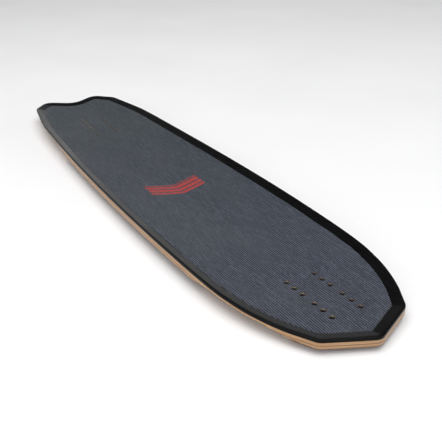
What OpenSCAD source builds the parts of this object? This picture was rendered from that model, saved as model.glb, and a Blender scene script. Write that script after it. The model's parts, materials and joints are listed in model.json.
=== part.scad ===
// Downhill longboard deck: pressed maple plies, a textured standing panel and a raised black rail.
// +X points to the nose, +Z up. The origin is under the middle of the deck, at its lowest point.

/* [Outline] */
// Overall length, tail tips to nose point
deck_length = 988; // [960:1:1020]
// Overall width at the widest place
deck_width = 241; // [220:0.5:260]
// Rounding radius of the nose corners
nose_corner_radius = 16; // [16:1:20]

/* [Bend] */
// Distance from the middle at which the rises below are measured
rise_station = 460; // [450:5:490]
// Height of the tail above the middle at that station
tail_rise = 13.5; // [6:0.1:20]
// Height of the nose above the middle at that station
nose_rise = 7.2; // [4:0.1:15]
// Rise that the bend at the middle would reach if it went on to the station
middle_bend = 15.3; // [8:0.1:18]
// Rise of the surface at the side, at the middle of the deck
concave_middle = 15.5; // [6:0.1:18]
// Rise of the surface at the side, at the tail station
concave_tail = 8; // [3:0.1:15]
// Rise of the surface at the side, at the nose station
concave_nose = 3.6; // [3:0.1:15]

/* [Layers] */
// Thickness of the textured standing panel
panel_thickness = 0.55; // [0.4:0.05:1.5]
// Thickness of the top ply, which stops at the rail
top_ply_thickness = 0.9; // [0.8:0.05:1.5]
// Thickness of each full-size ply
ply_thickness = 1.21; // [1:0.01:1.5]
// Thickness of the base sheet
base_thickness = 0.5; // [0.3:0.05:1]

/* [Rail] */
// Width of the black rail seen from above
rail_width = 15; // [8:0.5:15.5]
// Height of the rail's outer edge above the panel's surface
rail_lip = 2.85; // [1:0.05:5]
// Size of the rounding along the rail's outer edge
rail_round = 1.6; // [0.5:0.1:2]

/* [Truck holes] */
// Hole spacing of a truck along the deck
truck_spacing_x = 53.98; // [50:0.01:65]
// Hole spacing of a truck across the deck
truck_spacing_y = 41.28; // [38:0.01:45]
// Diameter of the bolt holes
bolt_hole_diameter = 5.5; // [5:0.1:7]
// Diameter of the countersinks where they meet the top ply
sink_diameter = 8.6; // [7:0.1:10]
// Distance from the middle to the centre of the innermost nose truck position
nose_truck_x = 379; // [340:1:385]
// Step between the nose truck positions
nose_truck_step = 15.88; // [12:0.01:18]
// Distance from the middle to the centre of the innermost tail truck position
tail_truck_x = 303; // [290:1:320]
// Step between the tail truck positions
tail_truck_step = 13.5; // [12:0.01:14]

/* [Wheel wells] */
// Radius of the scooped hollow's section
well_radius = 150; // [120:5:200]
// Depth of the nose wells at the rail
nose_well_depth = 5.5; // [2:0.1:7]
// Depth of the tail wells at the rail
tail_well_depth = 7.4; // [2:0.1:7.4]

/* [Hidden] */

half_length = deck_length / 2;
half_width = deck_width / 2;
full_plies = 7;
nose_truck_count = 3;
tail_truck_count = 4;
core_top = panel_thickness + top_ply_thickness;
deck_thickness = core_top + full_plies * ply_thickness + base_thickness;

// Depths, measured down from the panel's surface, at which each full-size ply starts
ply_starts = [for (i = [0 : full_plies]) core_top + i * ply_thickness];

// Grid of the bent surfaces, with one flat cell in the middle
cells_x = 21;
cells_y = 13;
grid_margin = 4;

// Glue line under the rail, which keeps it clear of the flat cells of the ply below
glue_gap = 0.15;

// Corners and curve of one side of the outline, from tail to nose, as parts of the half length and half width
tail_notch = [-0.955, 0];
tail_tip = [-1.012, 0.45];
tail_corner = [-0.93, 0.73];
side_points = [
    [-0.84, 0.795], [-0.68, 0.89], [-0.4, 0.95], [-0.1, 0.99], [0.2, 1],
    [0.45, 0.98], [0.65, 0.94], [0.75, 0.875], [0.82, 0.79], [0.885, 0.67]
];
nose_corner = [0.945, 0.52];
nose_tip = [1.0034, 0];
notch_radius = 35;
tail_tip_radius = 22;
tail_corner_radius = 30;
curve_steps = 4;
corner_steps = 4;

// Wells, each from one place to another along the deck
nose_well = [328, 403];
tail_well = [-425, -245];
well_steps = 6;

cut_height = 120;

function scaled(p) = [p[0] * half_length, p[1] * half_width];

// Smooth curve through points: the stretch between b and c, with a and d as its neighbours
function curve(a, b, c, d, t) =
    0.5 * (2 * b + (c - a) * t + (2 * a - 5 * b + 4 * c - d) * t * t
        + (3 * b - a - 3 * c + d) * t * t * t);

function side_point(i) =
    i < 0 ? tail_corner
    : i >= len(side_points) ? nose_corner
    : side_points[i];

side_curve = [
    for (i = [0 : len(side_points) - 2], k = [0 : curve_steps - 1])
        scaled(curve(side_point(i - 1), side_point(i), side_point(i + 1), side_point(i + 2), k / curve_steps)),
    scaled(side_points[len(side_points) - 1])
];

function unit(v) = v / norm(v);

// Arc of radius r that rounds the corner b of the path a, b, c
function rounded(a, b, c, r) =
    let (
        u = unit(a - b),
        v = unit(c - b),
        half_angle = acos(u * v) / 2,
        centre = b + unit(u + v) * r / sin(half_angle),
        start = b + u * r / tan(half_angle) - centre,
        turn = 180 - 2 * half_angle,
        way = u[0] * v[1] - u[1] * v[0] > 0 ? -1 : 1
    )
    [for (k = [0 : corner_steps])
        let (g = way * turn * k / corner_steps)
            centre + [start[0] * cos(g) - start[1] * sin(g), start[0] * sin(g) + start[1] * cos(g)]];

function mirrored(p) = [p[0], -p[1]];

// Half of an arc that crosses the centreline, from its start or from its middle
function first_half(arc) = [for (k = [0 : corner_steps / 2]) arc[k]];
function second_half(arc) = [for (k = [corner_steps / 2 : corner_steps]) arc[k]];

notch = scaled(tail_notch);
tail_end = scaled(tail_tip);
tail_side = scaled(tail_corner);
nose_side = scaled(nose_corner);
nose_end = scaled(nose_tip);

half_outline = concat(
    second_half(rounded(mirrored(tail_end), notch, tail_end, notch_radius)),
    rounded(notch, tail_end, tail_side, tail_tip_radius),
    rounded(tail_end, tail_side, side_curve[0], tail_corner_radius),
    side_curve,
    rounded(side_curve[len(side_curve) - 1], nose_side, nose_end, nose_corner_radius),
    first_half(rounded(nose_side, nose_end, mirrored(nose_side), nose_corner_radius))
);
outline = concat(
    half_outline,
    [for (i = [len(half_outline) - 2 : -1 : 1]) mirrored(half_outline[i])]
);

// Point i of the outline moved inwards by d
function inset(i, d) =
    let (
        n = len(outline),
        e1 = unit(outline[i] - outline[(i + n - 1) % n]),
        e2 = unit(outline[(i + 1) % n] - outline[i]),
        m = [e1[1] + e2[1], -e1[0] - e2[0]]
    )
    outline[i] + d * m / (1 + e1 * e2);

panel_outline = [for (i = [0 : len(outline) - 1]) inset(i, rail_width)];

// Height of the panel's surface above the lowest point of the deck
function rocker(x) =
    let (
        u = x / rise_station,
        lean = (tail_rise - nose_rise) / 2,
        flattening = middle_bend - (tail_rise + nose_rise) / 2
    )
    middle_bend * pow(u, 2) - lean * pow(u, 3) - flattening * pow(u, 4);

function concave(x) =
    let (
        u = x / rise_station,
        mean = (concave_tail + concave_nose) / 2
    )
    concave_middle + (concave_nose - concave_tail) / 2 * u + (mean - concave_middle) * u * u;

function surface_z(x, y) = deck_thickness + rocker(x) + concave(x) * pow(y / half_width, 2);

// Solid between two depths below the panel's surface, wider than the deck
module bent_slab(top, bottom) {
    nx = cells_x + 1;
    ny = cells_y + 1;
    grid = [
        for (i = [0 : cells_x], j = [0 : cells_y]) [
            (half_length + grid_margin) * (2 * i / cells_x - 1),
            (half_width + grid_margin) * (2 * j / cells_y - 1)
        ]
    ];
    points = concat(
        [for (g = grid) [g[0], g[1], surface_z(g[0], g[1]) - top]],
        [for (g = grid) [g[0], g[1], surface_z(g[0], g[1]) - bottom]]
    );
    low = nx * ny;
    rim = concat(
        [for (j = [0 : cells_y]) j],
        [for (i = [1 : cells_x]) i * ny + cells_y],
        [for (j = [cells_y - 1 : -1 : 0]) cells_x * ny + j],
        [for (i = [cells_x - 1 : -1 : 1]) i * ny]
    );
    cells = [for (i = [0 : cells_x - 1], j = [0 : cells_y - 1]) i * ny + j];
    faces = concat(
        [for (c = cells) [c, c + 1, c + ny + 1]],
        [for (c = cells) [c, c + ny + 1, c + ny]],
        [for (c = cells) [low + c, low + c + ny + 1, low + c + 1]],
        [for (c = cells) [low + c, low + c + ny, low + c + ny + 1]],
        [for (k = [0 : len(rim) - 1])
            let (a = rim[k], b = rim[(k + 1) % len(rim)]) [b, a, low + a, low + b]]
    );
    polyhedron(points, faces);
}

module outline_prism(points) {
    linear_extrude(cut_height, center = true) polygon(points);
}

// Truck patterns along the deck
nose_trucks = [for (k = [0 : nose_truck_count - 1]) nose_truck_x + k * nose_truck_step];
tail_trucks = [for (k = [0 : tail_truck_count - 1]) -tail_truck_x - k * tail_truck_step];

// Places its children on the panel's surface, at every bolt hole
module at_truck_holes() {
    for (x = concat(nose_trucks, tail_trucks), sx = [-1, 1], sy = [-1, 1]) {
        place = [x + sx * truck_spacing_x / 2, sy * truck_spacing_y / 2];
        translate([place[0], place[1], surface_z(place[0], place[1])]) children();
    }
}

module bolt_holes(diameter) {
    at_truck_holes() cylinder(h = cut_height, d = diameter, center = true, $fn = 48);
}

// Cones for countersunk bolt heads, at 45 degrees, full size at the top ply and wider above it
module countersinks() {
    sink_r = sink_diameter / 2;
    at_truck_holes()
        translate([0, 0, -panel_thickness - sink_r])
            cylinder(h = sink_r + panel_thickness, r1 = 0, r2 = sink_r + panel_thickness, $fn = 96);
}

// Distance of the rail's outer edge from the centreline
function rail_y(x) = lookup(x, concat([[-half_length, tail_side[1]]], side_curve));

// Plan of a well at a height above the underside, where the scooped hollow is narrower the higher it is
function well_plan(span, depth, height) =
    let (reach = sqrt(2 * well_radius * (depth - height)), last = 2 * well_steps + 1)
    concat(
        [[span[0] - reach, half_width + grid_margin]],
        [for (k = [0 : last])
            let (
                late = k > well_steps,
                g = 90 * (late ? last - k : k) / well_steps,
                x = late ? span[1] + reach * cos(g) : span[0] - reach * cos(g)
            )
            [x, rail_y(x) - reach * sin(g)]],
        [[span[1] + reach, half_width + grid_margin]]
    );

module wheel_wells(height) {
    for (side = [0, 1]) mirror([0, side, 0]) {
        if (height < nose_well_depth)
            linear_extrude(cut_height) polygon(well_plan(nose_well, nose_well_depth, height));
        if (height < tail_well_depth)
            linear_extrude(cut_height) polygon(well_plan(tail_well, tail_well_depth, height));
    }
}

// Full-size layer between two depths
module core_layer(top, bottom) {
    difference() {
        intersection() {
            bent_slab(top, bottom);
            outline_prism(outline);
        }
        bolt_holes(bolt_hole_diameter);
        wheel_wells(deck_thickness - (top + bottom) / 2);
    }
}

module grip_panel() {
    color([0.29, 0.31, 0.34]) difference() {
        intersection() {
            bent_slab(0, panel_thickness);
            outline_prism(panel_outline);
        }
        bolt_holes(sink_diameter);
    }
}

// Raised ring round the deck, let into a rebate round the top ply
module edge_rail() {
    count = len(outline);
    soft = rail_round * (1 - cos(45));
    root = glue_gap - core_top;
    // Each corner of the section: distance in from the edge, and height above the panel's surface
    section = [
        [0, root],
        [0, rail_lip - rail_round],
        [soft, rail_lip - soft],
        [rail_round, rail_lip * (1 - rail_round / rail_width)],
        [rail_width, 0],
        [rail_width, root]
    ];
    sides = len(section);
    points = [
        for (i = [0 : count - 1], s = section)
            let (p = inset(i, s[0])) [p[0], p[1], surface_z(p[0], p[1]) + s[1]]
    ];
    quads = [
        for (i = [0 : count - 1], k = [0 : sides - 1])
            let (j = (i + 1) % count, m = (k + 1) % sides)
                [i * sides + k, j * sides + k, j * sides + m, i * sides + m]
    ];
    faces = [for (q = quads) each [[q[0], q[1], q[2]], [q[0], q[2], q[3]]]];
    color([0.09, 0.09, 0.09]) polyhedron(points, faces);
}

// Top ply, inside the rail
module ply_1() {
    color([0.78, 0.62, 0.45]) difference() {
        intersection() {
            bent_slab(panel_thickness, core_top);
            outline_prism(panel_outline);
        }
        bolt_holes(bolt_hole_diameter);
        countersinks();
    }
}

// Full-size ply number n, counted from the top ply as 1
module ply(n) {
    start = ply_starts[n - 2];
    color(n % 2 == 0 ? [0.74, 0.57, 0.4] : [0.68, 0.51, 0.36]) difference() {
        core_layer(start, start + ply_thickness);
        if (n == 2) countersinks();
    }
}

module base_sheet() {
    color([0.5, 0.37, 0.27]) core_layer(ply_starts[full_plies], deck_thickness);
}

grip_panel();
edge_rail();
ply_1();
ply(2);  // ply_2
ply(3);  // ply_3
ply(4);  // ply_4
ply(5);  // ply_5
ply(6);  // ply_6
ply(7);  // ply_7
ply(8);  // ply_8
base_sheet();
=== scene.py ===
import json
from math import cos, pi, sin

import bmesh
import bpy
import numpy as np
from mathutils import Matrix, Vector
from mathutils.geometry import delaunay_2d_cdt


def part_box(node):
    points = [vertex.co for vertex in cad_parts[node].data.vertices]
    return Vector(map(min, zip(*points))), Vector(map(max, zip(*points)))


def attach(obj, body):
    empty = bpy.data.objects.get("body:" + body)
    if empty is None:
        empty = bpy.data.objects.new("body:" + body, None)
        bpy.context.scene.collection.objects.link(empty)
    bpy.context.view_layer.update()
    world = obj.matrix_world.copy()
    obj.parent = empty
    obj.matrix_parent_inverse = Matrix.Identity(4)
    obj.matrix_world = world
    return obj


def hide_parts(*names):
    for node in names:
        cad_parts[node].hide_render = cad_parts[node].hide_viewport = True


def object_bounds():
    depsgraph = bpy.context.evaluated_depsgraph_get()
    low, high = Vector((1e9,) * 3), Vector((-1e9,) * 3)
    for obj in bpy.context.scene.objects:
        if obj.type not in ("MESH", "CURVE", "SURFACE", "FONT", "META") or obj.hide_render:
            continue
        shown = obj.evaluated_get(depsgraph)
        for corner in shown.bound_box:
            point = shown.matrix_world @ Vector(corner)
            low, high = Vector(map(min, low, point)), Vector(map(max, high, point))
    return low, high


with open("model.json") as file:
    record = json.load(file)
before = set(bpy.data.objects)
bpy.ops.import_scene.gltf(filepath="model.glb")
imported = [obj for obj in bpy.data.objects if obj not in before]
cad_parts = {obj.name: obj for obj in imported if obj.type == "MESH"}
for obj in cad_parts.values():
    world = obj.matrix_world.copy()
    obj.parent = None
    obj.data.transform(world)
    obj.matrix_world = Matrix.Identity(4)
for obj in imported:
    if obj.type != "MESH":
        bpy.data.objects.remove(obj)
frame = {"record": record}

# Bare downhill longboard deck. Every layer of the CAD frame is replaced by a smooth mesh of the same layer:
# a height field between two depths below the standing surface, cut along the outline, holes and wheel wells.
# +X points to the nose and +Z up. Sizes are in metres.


def corners(box):
    return [[float(value) for value in corner] for corner in box]


CAD_BOX = corners(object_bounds())
MM = 0.001

# ---------------------------------------------------------------- driving sizes

HALF_LENGTH = 494 * MM
HALF_WIDTH = 120.5 * MM
PANEL_THICKNESS = 0.55 * MM
RAIL_WIDTH = 15 * MM
RAIL_LIP = 2.85 * MM
RAIL_ROUND = 1.6 * MM
SEAM = 0.25 * MM
BOTTOM_ROUND = 1.4 * MM

BEND_STATION = 460 * MM
TAIL_RISE = 13.5 * MM
NOSE_RISE = 7.2 * MM
MIDDLE_BEND = 15.3 * MM
CONCAVE_MIDDLE = 15.5 * MM
CONCAVE_TAIL = 8 * MM
CONCAVE_NOSE = 3.6 * MM

WELL_RADIUS = 150 * MM
WELL_STEPS = 22
# Each wheel well: where it starts and ends along the deck, and its depth at the rail
WELLS = [
    (328 * MM, 403 * MM, 5.5 * MM),
    (-425 * MM, -245 * MM, 7.4 * MM),
]

BOLT_RADIUS = 2.75 * MM
SINK_RADIUS = 4.3 * MM

# Spacing of the plan's points, and the longest stretch along an edge
GRID = 8 * MM
EDGE_STEP = 6 * MM
# Thinnest a layer gets before its two faces join
KNIFE = 0.03 * MM
# Closest that two points of the panel's ring may lie
POINT_GAP = 1.0 * MM
# Room round edges, lines and holes that the grid keeps free, and its row pitch, as parts of GRID
EDGE_ROOM = 0.45
LINE_ROOM = 0.4
COLLAR = 0.3
ROW_PITCH = 0.87
# Distances below which two points count as the same
TOUCHING = 1e-6
MERGING = 1e-7

# ---------------------------------------------------------------- layers, from the frame

PLIES = [f"ply_{n}" for n in range(1, 9)]
LAYERS = ["grip_panel", *PLIES, "base_sheet"]
LOWEST = {name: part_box(name)[0][2] for name in LAYERS}
THICKNESS = LOWEST["grip_panel"] - LOWEST["base_sheet"] + PANEL_THICKNESS
# Depth of each layer's underside below the standing surface
UNDERSIDE = {name: THICKNESS - (LOWEST[name] - LOWEST["base_sheet"]) for name in LAYERS}
RAIL_ROOT = UNDERSIDE["ply_1"]


def top_depth(name):
    place = LAYERS.index(name)
    return 0.0 if place == 0 else UNDERSIDE[LAYERS[place - 1]]


# ---------------------------------------------------------------- surface

def surface(x, y):
    """Height of the standing surface, with the bend along the deck and the concave across it."""
    u = x / BEND_STATION
    lean = (TAIL_RISE - NOSE_RISE) / 2
    flattening = MIDDLE_BEND - (TAIL_RISE + NOSE_RISE) / 2
    rocker = MIDDLE_BEND * u**2 - lean * u**3 - flattening * u**4
    mean = (CONCAVE_TAIL + CONCAVE_NOSE) / 2
    concave = CONCAVE_MIDDLE + (CONCAVE_NOSE - CONCAVE_TAIL) / 2 * u + (mean - CONCAVE_MIDDLE) * u**2
    return THICKNESS + rocker + concave * (y / HALF_WIDTH)**2


# ---------------------------------------------------------------- outline

# Corners and curve of one side, from tail to nose, as parts of the half length and half width
TAIL_NOTCH = (-0.955, 0)
TAIL_TIP = (-1.012, 0.45)
TAIL_CORNER = (-0.93, 0.73)
SIDE_POINTS = [
    (-0.84, 0.795), (-0.68, 0.89), (-0.4, 0.95), (-0.1, 0.99), (0.2, 1),
    (0.45, 0.98), (0.65, 0.94), (0.75, 0.875), (0.82, 0.79), (0.885, 0.67),
]
NOSE_CORNER = (0.945, 0.52)
NOSE_TIP = (1.0034, 0)
NOTCH_RADIUS = 35 * MM
TIP_RADIUS = 22 * MM
TAIL_CORNER_RADIUS = 30 * MM
NOSE_RADIUS = 16 * MM
CURVE_STEPS = 16
CORNER_STEPS = 12
CROWN_STEPS = 8


def scaled(point):
    return np.array(point, float) * (HALF_LENGTH, HALF_WIDTH)


def unit(v):
    return v / np.linalg.norm(v)


def side_curve():
    """Smooth curve through the side's points."""
    path = [scaled(p) for p in (TAIL_CORNER, *SIDE_POINTS, NOSE_CORNER)]
    points = []
    for a, b, c, d in zip(path, path[1:], path[2:], path[3:]):
        for t in np.arange(CURVE_STEPS) / CURVE_STEPS:
            points.append(0.5 * (2 * b + (c - a) * t + (2 * a - 5 * b + 4 * c - d) * t**2
                                 + (3 * b - a - 3 * c + d) * t**3))
    return [*points, path[-2]]


def rounded(a, b, c, radius):
    """Arc that rounds the corner b of the path a, b, c."""
    u, v = unit(a - b), unit(c - b)
    half = np.arccos(u @ v) / 2
    centre = b + unit(u + v) * radius / sin(half)
    arm = b + u * radius / np.tan(half) - centre
    way = -1 if u[0] * v[1] - u[1] * v[0] > 0 else 1
    turns = way * (pi - 2 * half) * np.arange(CORNER_STEPS + 1) / CORNER_STEPS
    return [centre + (arm[0] * cos(g) - arm[1] * sin(g), arm[0] * sin(g) + arm[1] * cos(g)) for g in turns]


def divided(ring):
    """The closed ring with points added, so that no stretch is longer than EDGE_STEP."""
    points = []
    for a, b in zip(ring, np.roll(ring, -1, axis=0)):
        count = max(1, int(np.ceil(np.linalg.norm(b - a) / EDGE_STEP)))
        points += [a + (b - a) * k / count for k in range(count)]
    return np.array(points)


def make_outline():
    """The whole outline, counterclockwise seen from above, as wide and long as the CAD rail."""
    flip = np.array((1, -1))
    notch, tip, corner = scaled(TAIL_NOTCH), scaled(TAIL_TIP), scaled(TAIL_CORNER)
    nose_corner, nose_tip = scaled(NOSE_CORNER), scaled(NOSE_TIP)
    side = side_curve()
    middle = CORNER_STEPS // 2
    half = [
        *rounded(tip * flip, notch, tip, NOTCH_RADIUS)[middle:],
        *rounded(notch, tip, corner, TIP_RADIUS),
        *rounded(tip, corner, side[0], TAIL_CORNER_RADIUS),
        *side,
        *rounded(side[-1], nose_corner, nose_tip, NOSE_RADIUS),
        *rounded(nose_corner, nose_tip, nose_corner * flip, NOSE_RADIUS)[:middle + 1],
    ]
    ring = np.array(half + [p * flip for p in half[-2:0:-1]])[::-1]
    low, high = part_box("edge_rail")
    fit_x = min(abs(low[0]) / abs(ring[:, 0].min()), high[0] / ring[:, 0].max())
    fit_y = high[1] / ring[:, 1].max()
    return divided(ring * (fit_x, min(fit_y, 1.0)))


def inward(ring):
    """For each point of a closed ring, the move that insets it by 1, mitred."""
    along = np.roll(ring, -1, axis=0) - ring
    along /= np.linalg.norm(along, axis=1)[:, None]
    before = np.roll(along, 1, axis=0)
    across = np.stack([-along[:, 1] - before[:, 1], along[:, 0] + before[:, 0]], axis=1)
    return across / (1 + (along * before).sum(1))[:, None]


def thinned(ring):
    """The ring without points that crowd closer than POINT_GAP to the one before."""
    kept = [ring[0]]
    for point in ring[1:]:
        if min(np.linalg.norm(point - kept[-1]), np.linalg.norm(point - kept[0])) > POINT_GAP:
            kept.append(point)
    return np.array(kept)


OUTLINE = make_outline()
SIDE = OUTLINE[(OUTLINE[:, 1] > 0)]
SIDE = SIDE[np.argsort(SIDE[:, 0])]


def rail_y(x):
    """Distance of the deck's edge from the centreline."""
    return np.interp(x, SIDE[:, 0], SIDE[:, 1])


# ---------------------------------------------------------------- wheel wells

def scoop(x, y):
    """How far the wheel wells cut up from the underside."""
    cut = np.zeros(np.shape(x))
    for start, end, depth in WELLS:
        past = np.maximum(np.maximum(start - x, x - end), 0)
        away = past**2 + (rail_y(x) - np.abs(y))**2
        cut = np.maximum(cut, depth - away / (2 * WELL_RADIUS))
    return cut


def contour(well, height):
    """Line where a well reaches a height above the underside, between its ends at the deck's +Y edge."""
    start, end, depth = well
    if height >= depth:
        return None
    reach = np.sqrt(2 * WELL_RADIUS * (depth - height))
    quarter = np.arange(WELL_STEPS + 1) / WELL_STEPS * pi / 2
    straight = np.linspace(start, end, max(3, int((end - start) / GRID)))[1:-1]
    x = np.concatenate([start - reach * np.cos(quarter), straight, end + reach * np.cos(quarter[::-1])])
    drop = np.concatenate([reach * np.sin(quarter), np.full(len(straight), reach),
                           reach * np.sin(quarter[::-1])])
    return np.stack([x, rail_y(x) - drop], axis=1)


def with_stops(ring, stops):
    """The ring with points added where it passes each place along the deck, on its long sides."""
    points = []
    for a, b in zip(ring, np.roll(ring, -1, axis=0)):
        points.append(a)
        inner = [s for s in stops if min(a[0], b[0]) + KNIFE < s < max(a[0], b[0]) - KNIFE]
        points += [a + (b - a) * (s - a[0]) / (b[0] - a[0])
                   for s in sorted(inner, reverse=bool(b[0] < a[0]))]
    return np.array(points)


# ---------------------------------------------------------------- truck holes, from the record's mounts

def truck_holes():
    found = []
    for mount in frame["record"]["mounts"]:
        x = mount["pos_m"][0]
        dims = mount["dims"]
        found += [(x + sx * dims["spacing_x_mm"] / 2 * MM, sy * dims["spacing_y_mm"] / 2 * MM)
                  for sx in (-1, 1) for sy in (-1, 1)]
    return np.array(found)


HOLES = truck_holes()
HOLE_SIDES = 28


def hole_radius(depth):
    """Bolt hole with a countersink at 45 degrees."""
    if depth < PANEL_THICKNESS:
        return SINK_RADIUS
    return max(BOLT_RADIUS, SINK_RADIUS - (depth - PANEL_THICKNESS))


# ---------------------------------------------------------------- layers as meshes

def inside(points, ring):
    """Which points lie inside a closed ring."""
    x, y = points[:, 0][:, None], points[:, 1][:, None]
    ax, ay = ring[:, 0], ring[:, 1]
    bx, by = np.roll(ax, -1), np.roll(ay, -1)
    spans = (ay > y) != (by > y)
    with np.errstate(divide="ignore", invalid="ignore"):
        left = x < (bx - ax) * (y - ay) / (by - ay) + ax
    return (spans & left).sum(1) % 2 == 1


def grid_points(ring, contours):
    """Points in staggered rows inside the ring, clear of its edge, of the holes and of the contours."""
    rows = np.arange(-HALF_WIDTH, HALF_WIDTH, GRID * ROW_PITCH) + GRID * LINE_ROOM
    columns = np.arange(-HALF_LENGTH, HALF_LENGTH, GRID)
    points = np.array([(x + GRID / 2 * (j % 2), y) for j, y in enumerate(rows) for x in columns])
    points = points[inside(points, ring + inward(ring) * GRID * EDGE_ROOM)]
    fixed = np.concatenate([HOLES, *contours]) if contours else HOLES
    room = np.full(len(fixed), GRID * LINE_ROOM)
    room[:len(HOLES)] = SINK_RADIUS + GRID * EDGE_ROOM
    for (x, y), clear in zip(fixed, room):
        points = points[(points[:, 0] - x)**2 + (points[:, 1] - y)**2 > clear**2]
    return points


def triangles(ring, contours, radius):
    """Triangles of the plan inside the ring and outside the holes, with edges along every contour."""
    points = [Vector(p) for p in ring]
    edges = [(i, (i + 1) % len(ring)) for i in range(len(ring))]
    for line in contours:
        first = len(points)
        points += [Vector(p) for p in line]
        edges += [(first + i, first + i + 1) for i in range(len(line) - 1)]
    for x, y in HOLES:
        for reach, joined in ((radius, True), (radius + GRID * COLLAR, False)):
            first = len(points)
            turn = [2 * pi * k / HOLE_SIDES for k in range(HOLE_SIDES)]
            points += [Vector((x + reach * cos(g), y + reach * sin(g))) for g in turn]
            if joined:
                edges += [(first + k, first + (k + 1) % HOLE_SIDES) for k in range(HOLE_SIDES)]
    points += [Vector(p) for p in grid_points(ring, contours)]
    found, _, faces, _, _, _ = delaunay_2d_cdt(points, edges, [], 0, MERGING)
    found = np.array([tuple(p) for p in found])
    faces = np.array([tuple(f) for f in faces], int)
    middle = found[faces].mean(1)
    keep = inside(middle, ring)
    for x, y in HOLES:
        keep &= (middle[:, 0] - x)**2 + (middle[:, 1] - y)**2 > (radius * 0.99)**2
    return found, faces[keep]


def add_mesh(name, points, faces, kinds):
    """Mesh object, smooth within each kind of face and sharp between kinds."""
    mesh = bpy.data.meshes.new(name)
    mesh.from_pydata([tuple(p) for p in points], [], faces)
    mesh.polygons.foreach_set("use_smooth", [True] * len(faces))
    work = bmesh.new()
    work.from_mesh(mesh)
    work.faces.ensure_lookup_table()
    for edge in work.edges:
        if len({kinds[f.index] for f in edge.link_faces}) > 1:
            edge.smooth = False
    bmesh.ops.delete(work, geom=[v for v in work.verts if not v.link_faces], context="VERTS")
    for face in work.faces:
        face.material_index = int(kinds[face.index] == BORE)
    work.to_mesh(mesh)
    work.free()
    piece = bpy.data.objects.new(name, mesh)
    bpy.context.scene.collection.objects.link(piece)
    return piece


TOP, FLAT, SCOOPED, WALL, BORE = range(5)


def bottom_inset(depth, bottom):
    """How far the rounded lower edge has moved in at a depth, where the wood ends at bottom."""
    into = np.maximum(depth - (bottom - BOTTOM_ROUND), 0)
    return BOTTOM_ROUND - np.sqrt(np.maximum(BOTTOM_ROUND**2 - into**2, 0))


def plate(name, ring, cut=True):
    """Layer between two depths, with the bolt holes and the wheel wells where they reach it."""
    top, bottom = top_depth(name), UNDERSIDE[name]
    contours = []
    if cut:
        for height in (THICKNESS - top, THICKNESS - bottom):
            for line in (contour(well, height) for well in WELLS):
                if line is not None:
                    contours += [line, line * (1, -1)]
        ring = with_stops(ring, {float(line[end][0]) for line in contours for end in (0, -1)})
    radius = hole_radius(top)
    found, faces = triangles(ring, contours, radius)
    floor = THICKNESS - scoop(found[:, 0], found[:, 1]) if cut else np.full(len(found), THICKNESS)
    middle = found[faces].mean(1)
    middle_floor = THICKNESS - scoop(middle[:, 0], middle[:, 1]) if cut else np.full(len(middle), THICKNESS)
    faces = faces[middle_floor > top]
    scooped = (middle_floor < bottom)[middle_floor > top]

    # where each point lies at the top and at the bottom of the layer
    ends = np.minimum(bottom, floor)
    knife = ends - top < KNIFE
    ends = np.where(knife, top, ends)
    high, low = found.copy(), found.copy()
    gaps = np.linalg.norm(found[:, None, :] - ring[None, :, :], axis=2)
    nearest = gaps.argmin(1)
    on_edge = gaps[np.arange(len(found)), nearest] < TOUCHING
    moves = inward(ring)[nearest] * on_edge[:, None]
    if cut:
        high += moves * bottom_inset(np.full(len(found), top), floor)[:, None]
        low += moves * bottom_inset(ends, floor)[:, None]
    bore = np.zeros(len(found), bool)
    for x, y in HOLES:
        arm = found - (x, y)
        reach = np.linalg.norm(arm, axis=1)
        here = np.abs(reach - radius) < TOUCHING
        low[here] = (x, y) + arm[here] * hole_radius(bottom) / radius
        bore |= here
    base_low = LOWEST["base_sheet"]
    points_high = np.column_stack([high, surface(high[:, 0], high[:, 1]) - top])
    points_low = np.column_stack([low, surface(low[:, 0], low[:, 1]) - ends])
    points_low[:, 2] = np.maximum(points_low[:, 2], base_low)

    count = len(found)
    under = np.where(knife, np.arange(count), np.arange(count) + count)
    mesh_faces, kinds = [], []
    pairs = {}
    for (a, b, c), cutaway in zip(faces.tolist(), scooped.tolist()):
        for pair in ((a, b), (b, c), (c, a)):
            pairs[pair] = True
        if knife[a] and knife[b] and knife[c]:
            continue
        mesh_faces += [(a, b, c), (under[c], under[b], under[a])]
        kinds += [TOP, SCOOPED if cutaway else FLAT]
    for a, b in pairs:
        if (b, a) in pairs or (knife[a] and knife[b]):
            continue
        wall = [under[a], under[b], b, a]
        mesh_faces.append(tuple(dict.fromkeys(int(v) for v in wall)))
        kinds.append(BORE if bore[a] and bore[b] else WALL)
    return add_mesh(name + "_skin", np.concatenate([points_high, points_low]), mesh_faces, kinds)


def rail_section():
    """Closed section: distance in from the edge, height above the panel, and kind of the next face."""
    round_top = RAIL_LIP * (1 - RAIL_ROUND / RAIL_WIDTH)
    crown = [(RAIL_ROUND * (1 - cos(k / CROWN_STEPS * pi / 2)),
              RAIL_LIP - RAIL_ROUND + (round_top - RAIL_LIP + RAIL_ROUND) * sin(k / CROWN_STEPS * pi / 2),
              TOP)
             for k in range(CROWN_STEPS + 1)]
    slope = [(RAIL_WIDTH * t, RAIL_LIP * (1 - t), TOP) for t in (0.3, 0.5, 0.7, 0.85, 0.94)]
    lip_end = RAIL_WIDTH - SEAM
    return [
        (0, -RAIL_ROOT, WALL),
        (0, -RAIL_ROOT * 0.3, WALL),
        *crown,
        *slope,
        (lip_end - SEAM, SEAM * 0.3, TOP),
        (lip_end, -SEAM, WALL),
        (lip_end, -RAIL_ROOT, FLAT),
    ]


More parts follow.
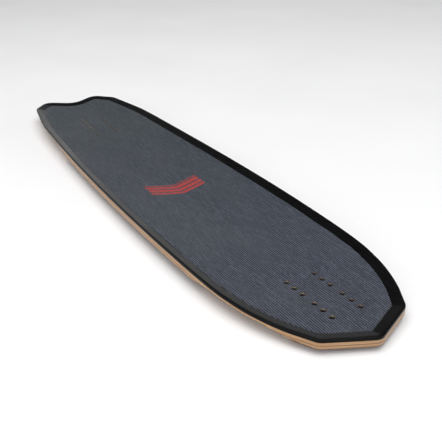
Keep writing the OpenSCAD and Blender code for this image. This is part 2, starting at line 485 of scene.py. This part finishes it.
def rail_ring():
    """Raised ring swept round the outline."""
    section = rail_section()
    moves = inward(OUTLINE)
    rows = []
    for depth, height, _ in section:
        plan = OUTLINE + moves * depth
        level = np.minimum(surface(plan[:, 0], plan[:, 1]) + height, CAD_BOX[1][2])
        rows.append(np.column_stack([plan, level]))
    count, sides = len(OUTLINE), len(section)
    points = np.concatenate(rows)
    faces, kinds = [], []
    for k in range(sides):
        after = (k + 1) % sides
        for i in range(count):
            j = (i + 1) % count
            faces.append((k * count + i, k * count + j, after * count + j, after * count + i))
            kinds.append(section[k][2])
    return add_mesh("edge_rail_skin", points, faces, kinds)


# ---------------------------------------------------------------- material helpers

class Nodes:
    """Short calls for building one material's node tree."""

    def __init__(self, name):
        self.material = bpy.data.materials.new(name)
        self.material.use_nodes = True
        self.tree = self.material.node_tree
        self.shader = self.tree.nodes["Principled BSDF"]
        self.place = self.add("ShaderNodeTexCoord").outputs["Object"]

    def add(self, kind, inputs=None, **settings):
        node = self.tree.nodes.new(kind)
        for key, value in settings.items():
            setattr(node, key, value)
        for key, value in (inputs or {}).items():
            self.put(node.inputs[key], value)
        return node

    def put(self, socket, value):
        if isinstance(value, bpy.types.NodeSocket):
            self.tree.links.new(value, socket)
        else:
            socket.default_value = value

    def math(self, operation, *values):
        node = self.add("ShaderNodeMath", operation=operation)
        for socket, value in zip(node.inputs, values):
            self.put(socket, value)
        return node.outputs[0]

    def stretched(self, scale, shift=(0, 0, 0)):
        node = self.add("ShaderNodeMapping", {"Vector": self.place, "Scale": scale, "Location": shift})
        return node.outputs[0]

    def noise(self, scale, detail=3.0, rough=0.5, warp=0.0, shift=(0, 0, 0)):
        node = self.add("ShaderNodeTexNoise", {"Vector": self.stretched(scale, shift), "Scale": 1.0,
                                               "Detail": detail, "Roughness": rough, "Distortion": warp})
        return node.outputs[0]

    def span(self, value, low, high, to_low=0.0, to_high=1.0):
        node = self.add("ShaderNodeMapRange", {"Value": value, "From Min": low, "From Max": high,
                                               "To Min": to_low, "To Max": to_high})
        return node.outputs[0]

    def mix(self, factor, a, b):
        node = self.add("ShaderNodeMix", data_type="RGBA")
        self.put(node.inputs["Factor"], factor)
        self.put(node.inputs[6], a)
        self.put(node.inputs[7], b)
        return node.outputs[2]

    def bump(self, height, strength, distance, under=None):
        node = self.add("ShaderNodeBump", {"Height": height, "Strength": strength, "Distance": distance})
        if under is not None:
            self.put(node.inputs["Normal"], under)
        return node.outputs[0]

    def set(self, **sockets):
        for name, value in sockets.items():
            self.put(self.shader.inputs[name.replace("_", " ")], value)


def rgb(red, green, blue):
    """Linear colour from screen values of 0 to 255."""
    return (*(((v / 255 + 0.055) / 1.055)**2.4 if v > 10 else v / 255 / 12.92 for v in (red, green, blue)), 1)


# ---------------------------------------------------------------- materials

def panel_material():
    """Blue-grey standing panel with fine ribs along the deck, flecked threads and a red printed mark; the rib
    tops carry a painted highlight and the furrows between them painted shade.
    """
    m = Nodes("ribbed_panel")
    axis = m.add("ShaderNodeSeparateXYZ", {"Vector": m.place}).outputs
    along, across = axis["X"], axis["Y"]

    # ribs that wander slightly
    rib_pitch = 3.1 * MM
    wander = m.span(m.noise((5, 22, 1), 2), 0, 1, -0.0012, 0.0012)
    rib_angle = m.math("MULTIPLY", m.math("ADD", across, wander), 2 * pi / rib_pitch)
    rib = m.math("MULTIPLY_ADD", m.math("SINE", rib_angle), 0.5, 0.5)
    threads = m.noise((42, 560, 60), 4, 0.7)
    flecks = m.noise((340, 620, 200), 3, 0.7, shift=(3, 1, 0))
    clouds = m.noise((7, 16, 5), 4, 0.55)

    # Colours shift along the deck: toward the nose the ground turns slightly darker and bluer, the darks
    # darker and the lights lighter.
    nose = m.span(along, -0.30, 0.34)
    ground = m.mix(nose, rgb(56, 62, 67), rgb(50, 54, 66))
    dark = m.mix(nose, rgb(34, 38, 44), rgb(5, 6, 12))
    light = m.mix(nose, rgb(80, 87, 92), rgb(116, 122, 138))
    thread_light = m.span(threads, 0.50, 0.72)
    thread_dark = m.span(threads, 0.48, 0.30)
    tone = m.mix(m.math("MULTIPLY", thread_dark, 0.6), ground, dark)
    # Light threads show more on the rib tops, as part of the painted highlight there.
    tone = m.mix(m.math("MULTIPLY", thread_light, m.span(rib, 0.1, 0.9, 0.2, 0.9)), tone, light)
    # Painted highlight on the rib tops, stronger toward the nose.
    crest_highlight = m.math("MULTIPLY", m.span(rib, 0.6, 1.0), m.span(nose, 0, 1, 0.08, 0.4))
    tone = m.mix(crest_highlight, tone, light)
    # Painted shade in the furrows between the ribs, stronger toward the nose.
    groove_shade = m.math("MULTIPLY", m.span(rib, 0.65, 0.15), m.span(nose, 0, 1, 0.3, 1.0))
    tone = m.mix(groove_shade, tone, dark)
    tone = m.mix(m.span(flecks, 0.52, 0.74, 0, 0.45), tone, light)
    tone = m.mix(m.span(flecks, 0.46, 0.28, 0, 0.55), tone, dark)
    tone = m.mix(m.span(clouds, 0.35, 0.7, 0.0, 0.25), tone, rgb(70, 74, 78))

    # printed mark: nested chevrons that point to the nose, worn thin over the ribs
    mark_x, mark_half, mark_pitch = 27 * MM, 47 * MM, 12.5 * MM
    slant = m.math("MULTIPLY_ADD", m.math("ABSOLUTE", across), 0.32, m.math("SUBTRACT", along, mark_x))
    step = m.math("FRACT", m.math("DIVIDE", m.math("ADD", slant, 1.0), mark_pitch))
    stripe = m.math("LESS_THAN", step, 0.7)
    within = m.math("LESS_THAN", m.math("ABSOLUTE", slant), mark_pitch * 1.5)
    side = m.math("LESS_THAN", m.math("ABSOLUTE", across), mark_half)
    mark = m.math("MULTIPLY", m.math("MULTIPLY", stripe, within), side)
    wear = m.span(m.noise((120, 500, 90), 3, 0.6, shift=(7, 2, 0)), 0.34, 0.6, 0.35, 0.92)
    tone = m.mix(m.math("MULTIPLY", mark, wear), tone, rgb(178, 52, 44))

    height = m.math("ADD", m.math("MULTIPLY", rib, 0.6), m.math("MULTIPLY", threads, 0.9))
    normal = m.bump(height, 0.55, 0.00035)
    normal = m.bump(flecks, 0.3, 0.0002, normal)
    rough = m.span(m.math("ADD", threads, clouds), 0.6, 1.4, 0.62, 0.48)
    m.set(Base_Color=tone, Roughness=rough, Normal=normal, Specular_IOR_Level=0.2)
    return m.material


def rail_material():
    """Satin black rail with a fine moulded texture and faint scuffs."""
    m = Nodes("black_rail")
    grain = m.noise((1500, 1500, 1500), 2, 0.6)
    scuffs = m.noise((40, 340, 200), 4, 0.7)
    clouds = m.noise((14, 18, 14), 3, 0.5)
    tone = m.mix(m.span(clouds, 0.3, 0.7), rgb(5, 5, 6), rgb(10, 10, 11))
    tone = m.mix(m.span(scuffs, 0.66, 0.85, 0, 0.25), tone, rgb(34, 34, 36))
    rough = m.span(m.math("ADD", clouds, scuffs), 0.7, 1.3, 0.24, 0.34)
    normal = m.bump(grain, 0.22, 0.00012)
    m.set(Base_Color=tone, Roughness=rough, Normal=normal, Specular_IOR_Level=0.09)
    return m.material


def wood_material(name, pale, deep, shift, cross=False, rough=0.46):
    """Maple ply: long growth bands, fine fibres and pores, along the deck or across it."""
    m = Nodes(name)
    turn = (lambda a, b, c: (b, a, c)) if cross else (lambda a, b, c: (a, b, c))
    bands = m.noise(turn(2.4, 42, 160), 3, 0.5, 0.6, (shift, shift, 0))
    fibres = m.noise(turn(26, 900, 900), 4, 0.65, shift=(0, shift, shift))
    pores = m.noise(turn(240, 2600, 2600), 2, 0.5, shift=(shift, 0, 0))
    patches = m.noise((9, 9, 60), 2, 0.5, shift=(0, 0, shift))
    tone = m.mix(m.span(bands, 0.32, 0.68), pale, deep)
    tone = m.mix(m.span(fibres, 0.42, 0.72, 0, 0.45), tone, deep)
    tone = m.mix(m.span(pores, 0.66, 0.80, 0, 0.5), tone, tuple(0.45 * v for v in deep[:3]) + (1,))
    tone = m.mix(m.span(patches, 0.35, 0.7, 0, 0.22), tone, tuple(0.75 * v for v in deep[:3]) + (1,))
    normal = m.bump(m.math("ADD", fibres, m.math("MULTIPLY", pores, 0.5)), 0.3, 0.00012)
    m.set(Base_Color=tone, Roughness=m.span(fibres, 0.3, 0.7, rough - 0.06, rough + 0.1), Normal=normal,
          Specular_IOR_Level=0.45, Coat_Weight=0.25, Coat_Roughness=0.3)
    return m.material


# ---------------------------------------------------------------- the deck's pieces

def finish_piece(piece, node, material, bore=None):
    piece.data.materials.append(material)
    piece.data.materials.append(bore or material)
    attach(piece, "root")
    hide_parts(node)


def build_deck():
    panel_ring = thinned(OUTLINE + inward(OUTLINE) * RAIL_WIDTH)
    finish_piece(plate("grip_panel", panel_ring, cut=False), "grip_panel", panel_material())
    finish_piece(rail_ring(), "edge_rail", rail_material())

    # The countersink cone in ply 1 shows its wood darkened and greyed: partly the wood's colour and partly
    # painted shade in the hole.
    sink_wood_shaded = wood_material("countersink_wood_shaded", rgb(104, 90, 76), rgb(60, 51, 43), 4.1)
    # Bore walls below the countersink are painted near black: painted shade inside the bolt holes.
    bore_shade = wood_material("bore_painted_shade", rgb(44, 36, 30), rgb(24, 20, 18), 5.3, rough=0.3)
    light = (rgb(182, 145, 104), rgb(152, 116, 78))
    brown = (rgb(142, 98, 60), rgb(108, 72, 44))
    for number, name in enumerate(PLIES, start=1):
        cross = number % 2 == 1
        pale, deep = brown if number in (5, 8) else light
        ring = panel_ring if number == 1 else OUTLINE
        wood = wood_material(f"maple_{number}", pale, deep, 1.7 * number, cross)
        finish_piece(plate(name, ring, cut=number > 1), name, wood,
                     sink_wood_shaded if number == 1 else bore_shade)

    # Base sheet in a darker brown, like ply 8 above it.
    base = wood_material("brown_base", rgb(128, 88, 58), rgb(96, 62, 40), 0.6, rough=0.38)
    finish_piece(plate("base_sheet", OUTLINE), "base_sheet", base, bore_shade)


build_deck()

# ---------------------------------------------------------------- floor, light and camera

FLOOR_HALF = 4.0


def make_floor():
    half = FLOOR_HALF
    floor = add_mesh("floor", [(-half, -half, 0), (half, -half, 0), (half, half, 0), (-half, half, 0)],
                     [(0, 1, 2, 3)], [TOP])
    m = Nodes("pale_floor")
    tone = m.mix(m.span(m.noise((3, 3, 3), 2), 0.3, 0.7), rgb(236, 236, 236), rgb(240, 240, 240))
    m.set(Base_Color=tone, Roughness=0.8, Specular_IOR_Level=0.2)
    floor.data.materials.append(m.material)


def make_world():
    """Soft studio surroundings, brightest near the horizon and darker overhead."""
    world = bpy.data.worlds.new("studio")
    world.use_nodes = True
    tree = world.node_tree
    place = tree.nodes.new("ShaderNodeTexCoord")
    split = tree.nodes.new("ShaderNodeSeparateXYZ")
    ramp = tree.nodes.new("ShaderNodeValToRGB")
    tree.links.new(place.outputs["Generated"], split.inputs[0])
    tree.links.new(split.outputs["Z"], ramp.inputs[0])
    tree.links.new(ramp.outputs[0], tree.nodes["Background"].inputs["Color"])
    stops = ramp.color_ramp.elements
    stops[0].position, stops[0].color = 0.0, (1.0, 1.0, 1.0, 1)
    stops[1].position, stops[1].color = 1.0, (0.30, 0.30, 0.31, 1)
    low = stops.new(0.26)
    low.color = (0.62, 0.62, 0.63, 1)
    high = stops.new(0.5)
    high.color = (0.10, 0.10, 0.105, 1)
    tree.nodes["Background"].inputs["Strength"].default_value = 1.0
    bpy.context.scene.world = world


def softbox(name, place, target, size, power):
    lamp = bpy.data.lights.new(name, "AREA")
    lamp.shape = "RECTANGLE"
    lamp.size, lamp.size_y = size
    lamp.energy = power
    holder = bpy.data.objects.new(name, lamp)
    aim = Vector(target) - Vector(place)
    holder.matrix_world = Matrix.Translation(place) @ aim.to_track_quat("-Z", "Y").to_matrix().to_4x4()
    bpy.context.scene.collection.objects.link(holder)


def make_camera():
    """Low three-quarter view over the nose, from the deck's right side."""
    place = Vector((0.8764, -0.4245, 0.4341))
    look = Vector((-0.7664, 0.455, -0.4535)).normalized()
    up = Vector((-0.3893, 0.2328, 0.8912))
    right = look.cross(up).normalized()
    up = right.cross(look)
    camera = bpy.data.cameras.new("camera")
    camera.sensor_width = 36
    camera.lens = 52.1
    camera.clip_start = 0.01
    holder = bpy.data.objects.new("camera", camera)
    turn = Matrix((right, up, -look)).transposed().to_4x4()
    holder.matrix_world = Matrix.Translation(place) @ turn
    bpy.context.scene.collection.objects.link(holder)
    bpy.context.scene.camera = holder


make_floor()
make_world()
softbox("overhead", (0.9, -0.5, 3.4), (0, 0, 0), (4.6, 4.4), 165)
softbox("far_side", (-2.6, 2.1, 0.55), (0, 0, 0), (3.6, 0.8), 4)
softbox("near_side", (1.1, -1.6, 0.8), (0.1, 0, 0), (1.6, 0.9), 10)
make_camera()

view = bpy.context.scene.view_settings
view.view_transform = "Standard"
view.look = "None"
